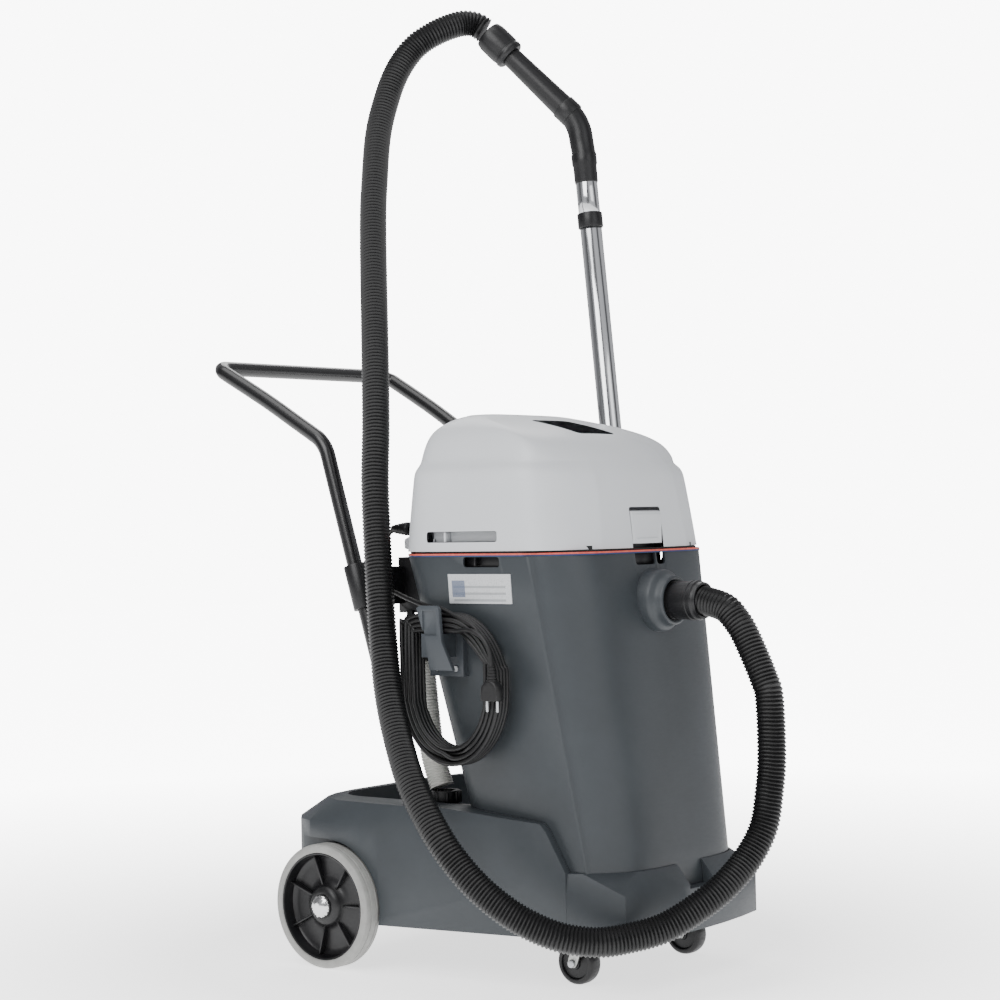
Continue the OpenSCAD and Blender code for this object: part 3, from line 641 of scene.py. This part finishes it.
plug = makePlug(plugSettings)
hand(plug, "chassis", finishes["cord_black"])
pinTubes = [turned("pin", [(0, 0), (.0016, 0), (.0023, .0012), (.0023, .018), (0, .018)],
                   (plugSettings["middle"][0], y, plugSettings["pinFoot"]), (0, 0, 1), 24)
            for y in plugSettings["pinY"]]
pins = smooth(joined("plugPins", pinTubes), 40)
hand(pins, "chassis", finishes["steel"])
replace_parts(plug, "mains_plug")

reliefSettings = {"foot": (-.188, .009, .706), "profile": [
    (.0040, 0), (.0104, 0), (.0108, .001), (.0108, .007), (.0098, .008), (.0098, .010), (.0100, .011),
    (.0100, .014), (.0086, .015), (.0086, .017), (.0089, .018), (.0089, .021), (.0074, .022),
    (.0074, .024), (.0077, .025), (.0077, .028), (.0062, .029), (.0062, .031), (.0064, .032),
    (.0060, .035), (.0050, .036), (.0040, .036), (.0040, 0)]}
relief = turned("leadRelief", reliefSettings["profile"], reliefSettings["foot"], (0, 1, 0), 36)
relief = smooth(relief, 38)
hand(relief, "head", finishes["black_plastic"])
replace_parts(relief, "cable_gland")

lead.data.materials.append(finishes["cord_black"])
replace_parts(lead, "mains_lead", "lead_coil")
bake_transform(lead)


print("head")
headShape = {"rows": [
    # height, half width, rear, front, crease x and y, corner y
    (.6690, .2210, .0152, -.3285, .116, -.3220, -.2620),
    (.6693, .2210, .0152, -.3285, .116, -.3220, -.2620),
    (.6702, .2210, .0151, -.3283, .116, -.3218, -.2615),
    (.700, .2205, .0120, -.3260, .112, -.3190, -.2560),
    (.740, .2190, .0080, -.3205, .108, -.3130, -.2490),
    (.780, .2165, .0040, -.3150, .105, -.3060, -.2430),
    (.793, .2150, .0030, -.3090, .105, -.3005, -.2410),
    (.800, .2105, .0020, -.3050, .104, -.2950, -.2370),
    (.806, .2030, .0010, -.3000, .102, -.2890, -.2310),
    (.812, .1985, .0000, -.2960, .100, -.2860, -.2370),
    (.820, .1965, -.0010, -.2900, .099, -.2810, -.2350),
    (.841, .1910, -.0050, -.2680, .090, -.2610, -.2240),
    (.862, .1780, -.0110, -.2080, .078, -.2030, -.1780),
    (.876, .1550, -.0260, -.1440, .070, -.1410, -.1240),
    (.885, .1300, -.0380, -.1000, .060, -.0985, -.0900),
    (.8905, .0950, -.0560, -.0800, .045, -.0790, -.0760)],
    "wall": .0115, "drop": .006, "hollowFoot": .6600,
    "grip": ((.2035, -.197, .6835), (.24, -.055, .7005)),
    "seats": ((-.345, -.3095), (-.008, .030)), "seatX": .042, "seatZ": (.655, .7335),
    "well": ((-.050, -.234, .8465), (.050, -.133, .92))}


# the head's outline at one height: a faceted front, straight sides and rounded rear corners
def headRing(z, w, rear, front, creaseX, creaseY, cornerY, inset=0.0):
    w, rear, front = w - inset, rear - inset, front + inset
    creaseY, cornerY = creaseY + inset, cornerY + inset
    k = w / .2205
    half = [(0, front), (.5 * creaseX, front + .12 * (creaseY - front)),
            (creaseX - .008, creaseY - .0005), (creaseX, creaseY),
            (creaseX + .008, creaseY + .0030),
            (creaseX + .45 * (w - creaseX), creaseY + .27 * (cornerY - creaseY)),
            (creaseX + .80 * (w - creaseX), creaseY + .58 * (cornerY - creaseY)),
            (w - .010 * k, cornerY - .010 * k), (w - .0008, cornerY + .010 * k),
            (w, cornerY + .060 * k), (w, .5 * (cornerY + rear)), (w, rear - .060 * k),
            (w - .004 * k, rear - .032 * k), (w - .018 * k, rear - .0125 * k),
            (w - .040 * k, rear - .003 * k), (w - .070 * k, rear), (.5 * (w - .070 * k), rear), (0, rear)]
    return [Vector((x, y, z)) for x, y in half] + [Vector((-x, y, z)) for x, y in half[-2:0:-1]]


def makeHead(options):
    rows = [headRing(*row) for row in options["rows"]]
    shell = skinned("headShell", rows)
    finishWith(shell, "SUBSURF", levels=2, render_levels=2)
    foot = headRing(options["hollowFoot"], *options["rows"][0][1:], inset=options["wall"])
    above = [headRing(row[0] - options["drop"], *row[1:], inset=options["wall"])
             for row in options["rows"][3:-2]]
    cutWith(shell, skinned("hollow", [foot] + above))
    for side in (-1, 1):
        cutWith(shell, sideBlock("grip", side, *options["grip"], .0035, 3))
    low, high = options["seatZ"]
    for y, back in options["seats"]:
        seat = block("seat", (-options["seatX"], y, low), (options["seatX"], back, high), .004, 3)
        cutWith(shell, seat)
    cutWith(shell, block("switchWell", *options["well"], .010, 4))
    finishWith(shell, "BEVEL", width=.0009, segments=2, limit_method="ANGLE",
               angle_limit=math.radians(55), use_clamp_overlap=True)
    smooth(shell, 30)
    return shell


head = makeHead(headShape)
hand(head, "head", finishes["light_shell"])
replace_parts(head, "motor_cover")

# exhaust cowls at the rear, either side of the latch
cowlSettings = {"x": (.051, .139), "profile": [(-.004, .672), (.0650, .672), (.0655, .689),
                                               (.0100, .7105), (-.004, .7130)],
                "slots": 5, "slotPitch": .014, "slotX": (.012, .019), "slotY": (.050, .080),
                "slotZ": (.676, .686)}


def makeCowl(options, side):
    low, high = sorted(side * x for x in options["x"])
    ring = [[Vector((x, y, z)) for y, z in options["profile"]] for x in (low, high)]
    cowl = skinned("cowl" + sideName[side], ring)
    finishWith(cowl, "BEVEL", width=.004, segments=3, limit_method="ANGLE", angle_limit=.6)
    near, far = [(y, z) for y, z in zip(options["slotY"], options["slotZ"])]
    for k in range(options["slots"]):
        start, end = [low + x + options["slotPitch"] * k for x in options["slotX"]]
        cutWith(cowl, block("slot", (start, *near), (end, *far), .001))
    return smooth(cowl, 32)


for side in (-1, 1):
    hand(makeCowl(cowlSettings, side), "head", finishes["light_shell"])

# a back and a divider in each grip recess
gripLining = [((.2020, -.1965, .684), (.2040, -.0555, .700)),
              ((.2035, -.0925, .684), (.2190, -.0890, .700))]

for side in (-1, 1):
    lining = makeLining("gripLining" + sideName[side], gripLining, .0008, side)
    hand(lining, "head", finishes["light_shell"])

print("tub")
tubShape = {"seam": .667, "taper": .348, "lean": .2403, "foot": .128, "top": .6609,
            "halfWidth": .223, "front": -.329, "side": -.259, "rear": .015, "rearCorner": .060,
            "levels": [.200, .300, .400, .500, .600], "wall": .004,
            "hollow": [.134, .300, .500, .690],
            "finger": ((.2100, -.202, .6445), (.240, -.130, .6604)),
            "latchHollows": [((-.041, -.345, .6425), (.014, -.3200, .6700)),
                             ((.0170, -.345, .6425), (.041, -.3200, .6700))]}


# the tub's outline at one height, set in by t: a bulging front and rounded corners, with steps
# along the front that close up towards its corner
def tubPlan(z, t=0.0, corner=.007):
    d = tubShape["seam"] - z
    k = 1 - tubShape["taper"] * d
    w, rear, r = tubShape["halfWidth"] - t, tubShape["rear"] - t, tubShape["rearCorner"] - t
    front, side = tubShape["front"] + t, tubShape["side"] + t
    wide = w - .006
    half = [(wide * u, front + (side - front) * abs(u) ** 5.0)
            for u in [0, .08, .16, .24, .32, .40, .47, .54, .60, .66, .71, .76, .80, .84, .88,
                      .91, .94, .965, .985]]
    half += [(wide + (w - wide) * math.sin(a), side - .001 + corner * (1 - math.cos(a)))
             for a in (.2, .5, .8, 1.1, 1.35, math.pi / 2)]
    half += [(w, side + (rear - r - side) * u) for u in (.25, .5, .75)]
    half += [(w - r + r * math.cos(a), rear - r + r * math.sin(a))
             for a in [math.radians(v) for v in range(0, 91, 9)]]
    half += [((w - r) * u, rear) for u in (.66, .33, 0)]
    return [Vector((k * x, k * y - tubShape["lean"] * d, z)) for x, y in half] \
        + [Vector((-k * x, k * y - tubShape["lean"] * d, z)) for x, y in half[-2:0:-1]]


def makeTub():
    levels = [tubShape["foot"], *tubShape["levels"], tubShape["top"]]
    shell = skinned("tubShell", [tubPlan(z) for z in levels])
    cutWith(shell, skinned("hollow", [tubPlan(z, tubShape["wall"]) for z in tubShape["hollow"]]))
    for side in (-1, 1):
        cutWith(shell, sideBlock("finger", side, *tubShape["finger"], .0045, 3))
    for low, high in tubShape["latchHollows"]:
        cutWith(shell, block("latchHollow", low, high, .006, 3))
    finishWith(shell, "BEVEL", width=.0008, segments=2, limit_method="ANGLE",
               angle_limit=math.radians(55), use_clamp_overlap=True)
    return smooth(shell, 32)


tub = makeTub()
hand(tub, "chassis", finishes["dark_shell"])
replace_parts(tub, "tub")

# a back and a divider in each finger recess, in black plastic darker than the tub: painted shade inside the
# recess
fingerLining = [((.2080, -.2040, .643), (.2110, -.1280, .6606)),
                ((.2105, -.1540, .647), (.2212, -.1515, .6598))]
for side in (-1, 1):
    lining = makeLining("fingerLining" + sideName[side], fingerLining, .0006, side)
    hand(lining, "chassis", finishes["black_plastic"])

# dark back and floor of the hollow under the front latch, closing it; black plastic darker than the tub, as
# painted shade in the hollow
hollowShadeBack = makeLining("latchHollowShadeBack", [((-.044, -.3150, .6395), (.044, -.3120, .6605)),
                                            ((-.044, -.3225, .6395), (.044, -.3130, .6415))], .0006, 1)
hand(hollowShadeBack, "chassis", finishes["black_plastic"])

# CAD parts shown as copies with rounded edges: bevel width, steps and least angle
print("chassis and small parts")
softened = {"chassis": (.0035, 3, 44), "handle_bracket": (.002, 2, 40), "cord_hook": (.0016, 2, 40),
            "drain_nut": (.0010, 2, 40), "drain_cap": (.0010, 2, 40), "front_latch": (.0014, 3, 40),
            "rear_latch": (.0014, 3, 40), "left_switch": (.0010, 2, 30), "right_switch": (.0010, 2, 30),
            "switch_bezel": (.0006, 2, 40), "castor_plates": (.0006, 2, 40),
            "left_castor_fork": (.0005, 2, 40), "right_castor_fork": (.0005, 2, 40),
            "left_castor_wheel": (.0010, 2, 24), "right_castor_wheel": (.0010, 2, 24),
            "left_castor_pin": (.0008, 2, 40), "right_castor_pin": (.0008, 2, 40),
            "hub_caps": (.0004, 2, 40), "tube_collar": (.0012, 2, 40), "air_slider": (.0008, 2, 40),
            "tube_holder": (.0008, 2, 50), "axle_clamps": (.0008, 2, 40)}
slots = {part["node"]: part["material_slot"] for part in frame["record"]["subparts"]}
bodies = {node: body for body, inside in frame["record"]["behaviour"]["bodies"].items()
          for node in inside}
for node, (width, steps, angle) in softened.items():
    piece = softCopy(node, width, steps, angle)
    hand(piece, bodies[node], finishes[slots[node]])

# moulded boss round the inlet
inletBoss = {"foot": (0, -.330, .586), "profile": [
    (.0310, 0), (.0505, 0), (.0502, .008), (.0494, .018), (.0488, .0240), (.0480, .0275), (.0462, .0300),
    (.0430, .0325), (.0410, .0350), (.0398, .0385), (.0390, .0440), (.0384, .0465), (.0370, .0478),
    (.0345, .0480), (.0330, .0470), (.0310, .0450), (.0310, 0)]}
boss = smooth(turned("inletBoss", inletBoss["profile"], inletBoss["foot"], (0, -1, 0), 96), 44)
hand(boss, "chassis", finishes["dark_shell"])
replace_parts(boss, "inlet_boss")

print("wheels")
wheelSettings = {"outer": .279, "width": .036, "axle": (.136, .100), "tyre": [
    (.0862, 0), (.0930, 0), (.0962, .0006), (.0985, .0022), (.0997, .0048), (.1000, .0075), (.1000, .0105),
    (.0988, .0112), (.0988, .0124), (.1000, .0131), (.1000, .0229), (.0988, .0236), (.0988, .0248),
    (.1000, .0255), (.1000, .0285), (.0997, .0312), (.0985, .0338), (.0962, .0354), (.0930, .0360),
    (.0885, .0360), (.0872, .0354), (.0862, .0340), (.0862, 0)],
    "rim": [(.0102, .0010), (.0250, .0010), (.0250, .0040), (.0790, .0040), (.0790, 0), (.0860, 0),
            (.0860, .0335), (.0848, .0345), (.0832, .0338), (.0822, .0300), (.0812, .0220), (.0800, .0165),
            (.0770, .0140), (.0700, .0132), (.0480, .0136), (.0400, .0150), (.0350, .0190), (.0325, .0245),
            (.0300, .0285), (.0262, .0308), (.0215, .0318), (.0200, .0318), (.0102, .0318), (.0102, .0010)],
    "ribs": 7}


def makeWheel(side, options):
    start = Vector((side * (options["outer"] - options["width"]), *options["axle"]))
    out = (side, 0, 0)
    name = sideName[side]
    tyre = smooth(turned("tyre" + name, options["tyre"], start, out, 96), 30)
    parts = [turned("rim" + name, options["rim"], start, out, 96)]
    for k in range(options["ribs"]):
        rib = block("rib", (-.0016, .030, .0120), (.0016, .0812, .0205), .0010, 2)
        for vertex in rib.data.vertices:
            if vertex.co.y > .06 and vertex.co.z > .015:
                vertex.co.z += .0055
        spin = Matrix.Rotation(math.tau * (k + .3) / options["ribs"], 4, "Z")
        rib.matrix_world = Matrix.Translation(start) @ aim(out) @ spin
        parts.append(settle(rib))
    rim = smooth(joined("rim" + name, parts), 34)
    return tyre, rim


for side, body in ((1, "left_wheel"), (-1, "right_wheel")):
    tyre, rim = makeWheel(side, wheelSettings)
    hand(tyre, body, finishes["tyre_rubber"])
    hand(rim, body, finishes["black_plastic"])
    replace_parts(tyre, body.replace("_wheel", "_tyre"))
    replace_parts(rim, body.replace("_wheel", "_rim"))

print("push handle")
handleSettings = {"radius": .0125, "sides": 32, "half": [
    (.205, -.013, .232), (.205, .035, .3898), (.205, .085, .554), (.205, .135, .7184),
    (.205, .160, .8006), (.205, .1683, .828), (.205, .1725, .8385), (.205, .1784, .8474),
    (.2052, .1858, .8552), (.2056, .1947, .8618), (.2082, .240, .8890), (.2118, .300, .9250),
    (.2168, .388, .9735), (.2152, .3985, .9790), (.2102, .4060, .9830), (.2030, .4110, .9853),
    (.192, .4130, .986), (.120, .4130, .986), (.060, .4130, .986)]}


def makeHandle(options):
    half = [Vector(p) for p in options["half"]]
    middle = Vector((0, half[-1].y, half[-1].z))
    route = half + [middle] + [Vector((-p.x, p.y, p.z)) for p in reversed(half)]
    path = evenly(easedRoute(route, 6), .006)[0]
    return smooth(tubeAlong("pushHandle", path, options["radius"], options["sides"]), 60)


handle = makeHandle(handleSettings)
hand(handle, "chassis", finishes["black_paint"])
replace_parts(handle, "push_handle")

print("wand")
wandLow, wandTop = Vector((.254, -.135, .232)), Vector((.254, -.033, 1.303))
wandBend, wandEnd = Vector((.252, -.022, 1.410)), Vector((.195, .082, 1.532))
wandUp = (wandTop - wandLow).normalized()
gripUp = (wandEnd - wandBend).normalized()


gripSettings = {"socket": [(.0172, -.0003), (.0198, 0), (.0206, .003), (.0208, .030),
                           (.0222, .034), (.0222, .050), (.0208, .054)],
                "bendRun": .030, "bendSteps": 8, "bendRadius": .0212,
                "taper": .0030, "taperSteps": 12, "spigot": (.0168, .0002, .0160)}


# a socket over the tube, a bend, and a tapered run that ends in a spigot
def makeGrip(options):
    path = [wandTop + wandUp * h for r, h in options["socket"]]
    radii = [r for r, h in options["socket"]]
    a, b = wandBend - wandUp * options["bendRun"], wandBend + gripUp * options["bendRun"]
    for k in range(options["bendSteps"] + 1):
        t = k / options["bendSteps"]
        path.append(a.lerp(wandBend, t).lerp(wandBend.lerp(b, t), t))
        radii.append(options["bendRadius"])
    run = (wandEnd - b).length
    steps = options["taperSteps"]
    for k in range(1, steps + 1):
        path.append(b + gripUp * run * k / steps)
        radii.append(options["bendRadius"] - options["taper"] * k / steps)
    radius, begins, ends = options["spigot"]
    path += [wandEnd + gripUp * begins, wandEnd + gripUp * ends]
    radii += [radius, radius]
    return tubeAlong("wandGrip", path, radii, 40)


grip = smooth(makeGrip(gripSettings), 34)
hand(grip, "chassis", finishes["black_plastic"])
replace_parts(grip, "wand_grip")
swivelCuff = [(.0172, .0010), (.0245, .0010), (.0270, .0035), (.0277, .0090), (.0270, .0110), (.0266, .0120),
              (.0266, .0150), (.0277, .0160), (.0280, .0300), (.0278, .0480), (.0262, .0560), (.0250, .0590),
              (.0240, .0596), (.0238, .0560), (.0172, .0200), (.0172, .0010)]
swivel = smooth(turned("swivelCuff", swivelCuff, wandEnd, gripUp, 64), 38)
hand(swivel, "swivel_cuff", finishes["black_plastic"])
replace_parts(swivel, "swivel_cuff")


def makeTube(name, foot, top, thick=.0015, radius=.019):
    length = (top - foot).length
    profile = [(radius - thick, 0), (radius - .0004, 0), (radius, .0004), (radius, length - .0004),
               (radius - .0004, length), (radius - thick, length), (radius - thick, 0)]
    return smooth(turned(name, profile, foot, top - foot, 96), 50)


tubeJoin = wandLow + wandUp * 1.010
lowTube = makeTube("lowerTube", wandLow, tubeJoin - wandUp * .0005)
hand(lowTube, "chassis", finishes["polished_tube"])
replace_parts(lowTube, "lower_tube")
highTube = makeTube("upperTube", tubeJoin + wandUp * .0005, wandTop + wandUp * .02)
hand(highTube, "chassis", finishes["polished_tube"])
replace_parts(highTube, "upper_tube")

print("drain hose")
drainRoute = [(-.150, -.017, .290), (-.150, -.008, .312), (-.150, .002, .345), (-.149, .010, .395),
              (-.147, .017, .445), (-.145, .024, .490), (-.144, .028, .524)]
drainPath, drainLength = evenly(easedRoute(drainRoute, 10), .0012)
ripple = (.0200, .0196, .0186, .0196)
drainHose = tubeAlong("drainHose", drainPath, [ripple[k % 4] for k in range(len(drainPath))], 28)
hand(smooth(drainHose, 70), "chassis", finishes["hose_white"])
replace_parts(drainHose, "drain_hose")

print("floor and light")


# pale floor that fades to plain white away from the object, as the camera sees it
def makeFloor():
    freeHands()
    bpy.ops.mesh.primitive_plane_add(size=24)
    floor = bpy.context.object
    floor.name = "studioFloor"
    finish = Finish("studioFloor")
    mottle = finish.noise(3.0, 3.0)
    tone = finish.blend(mottle, (0.86, 0.86, 0.86, 1), (0.89, 0.89, 0.89, 1))
    finish.use(Base_Color=tone, Roughness=0.7)
    finish.shader.inputs["Emission Color"].default_value = (1, 1, 1, 1)
    away = finish.add("ShaderNodeVectorMath", {"operation": "LENGTH"}, finish.place, out="Value")
    seen = finish.add("ShaderNodeLightPath", out="Is Camera Ray")
    finish.use(Emission_Strength=1.15 + seen * finish.span(away, 0.5, 2.8, 0.5, 7.6))
    floor.data.materials.append(finish.material)


makeFloor()
lights = [  # place, aimed at, width, height, power
    ((-3.4, -0.6, 3.0), (0, 0, .6), 2.6, 2.6, 96),
    ((-0.6, -4.4, 2.6), (0, 0, .6), 2.4, 2.4, 22),
    ((2.2, 2.0, 3.4), (0, 0, .7), 2.2, 2.2, 50),
    ((-1.0, 0.4, 4.2), (0, 0, .4), 2.6, 2.6, 54)]
for k, (place, target, wide, high, power) in enumerate(lights):
    lamp = bpy.data.lights.new("softLight%d" % k, "AREA")
    lamp.shape, lamp.size, lamp.size_y, lamp.energy = "RECTANGLE", wide, high, power
    lampObject = bpy.data.objects.new("softLight%d" % k, lamp)
    bpy.context.scene.collection.objects.link(lampObject)
    lampObject.matrix_world = Matrix.Translation(place) @ aim(Vector(place) - Vector(target))


# plain white to the eye, with dark and bright bands where the metal mirrors it
def setWorld():
    world = bpy.data.worlds.new("studio")
    world.use_nodes = True
    bpy.context.scene.world = world
    tree = world.node_tree
    back = tree.nodes["Background"]
    where = tree.nodes.new("ShaderNodeTexCoord")
    split = tree.nodes.new("ShaderNodeSeparateXYZ")
    tree.links.new(where.outputs["Generated"], split.inputs[0])
    ramp = tree.nodes.new("ShaderNodeValToRGB")
    ramp.color_ramp.interpolation = "EASE"
    spin = tree.nodes.new("ShaderNodeMath")
    spin.operation = "ARCTAN2"
    tree.links.new(split.outputs["Y"], spin.inputs[0])
    tree.links.new(split.outputs["X"], spin.inputs[1])
    share = tree.nodes.new("ShaderNodeMapRange")
    for key, value in ((1, -math.pi), (2, math.pi), (3, 0.0), (4, 1.0)):
        share.inputs[key].default_value = value
    tree.links.new(spin.outputs[0], share.inputs[0])
    stops = [(0.0, .9), (.10, .25), (.16, 1.0), (.27, .95), (.33, .12), (.40, .9), (.55, .8), (.62, .1),
             (.70, .9), (.85, .3), (1.0, .9)]
    elements = ramp.color_ramp.elements
    while len(elements) < len(stops):
        elements.new(.5)
    for element, (at, level) in zip(elements, stops):
        element.position, element.color = at, (level * .62, level * .62, level * .64, 1)
    tree.links.new(share.outputs[0], ramp.inputs[0])
    ray = tree.nodes.new("ShaderNodeLightPath")
    pick = tree.nodes.new("ShaderNodeMix")
    pick.data_type = "RGBA"
    tree.links.new(ray.outputs["Is Camera Ray"], pick.inputs[0])
    tree.links.new(ramp.outputs[0], pick.inputs[6])
    pick.inputs[7].default_value = (9, 9, 9, 1)
    tree.links.new(pick.outputs[2], back.inputs["Color"])
    back.inputs["Strength"].default_value = 1.0


setWorld()
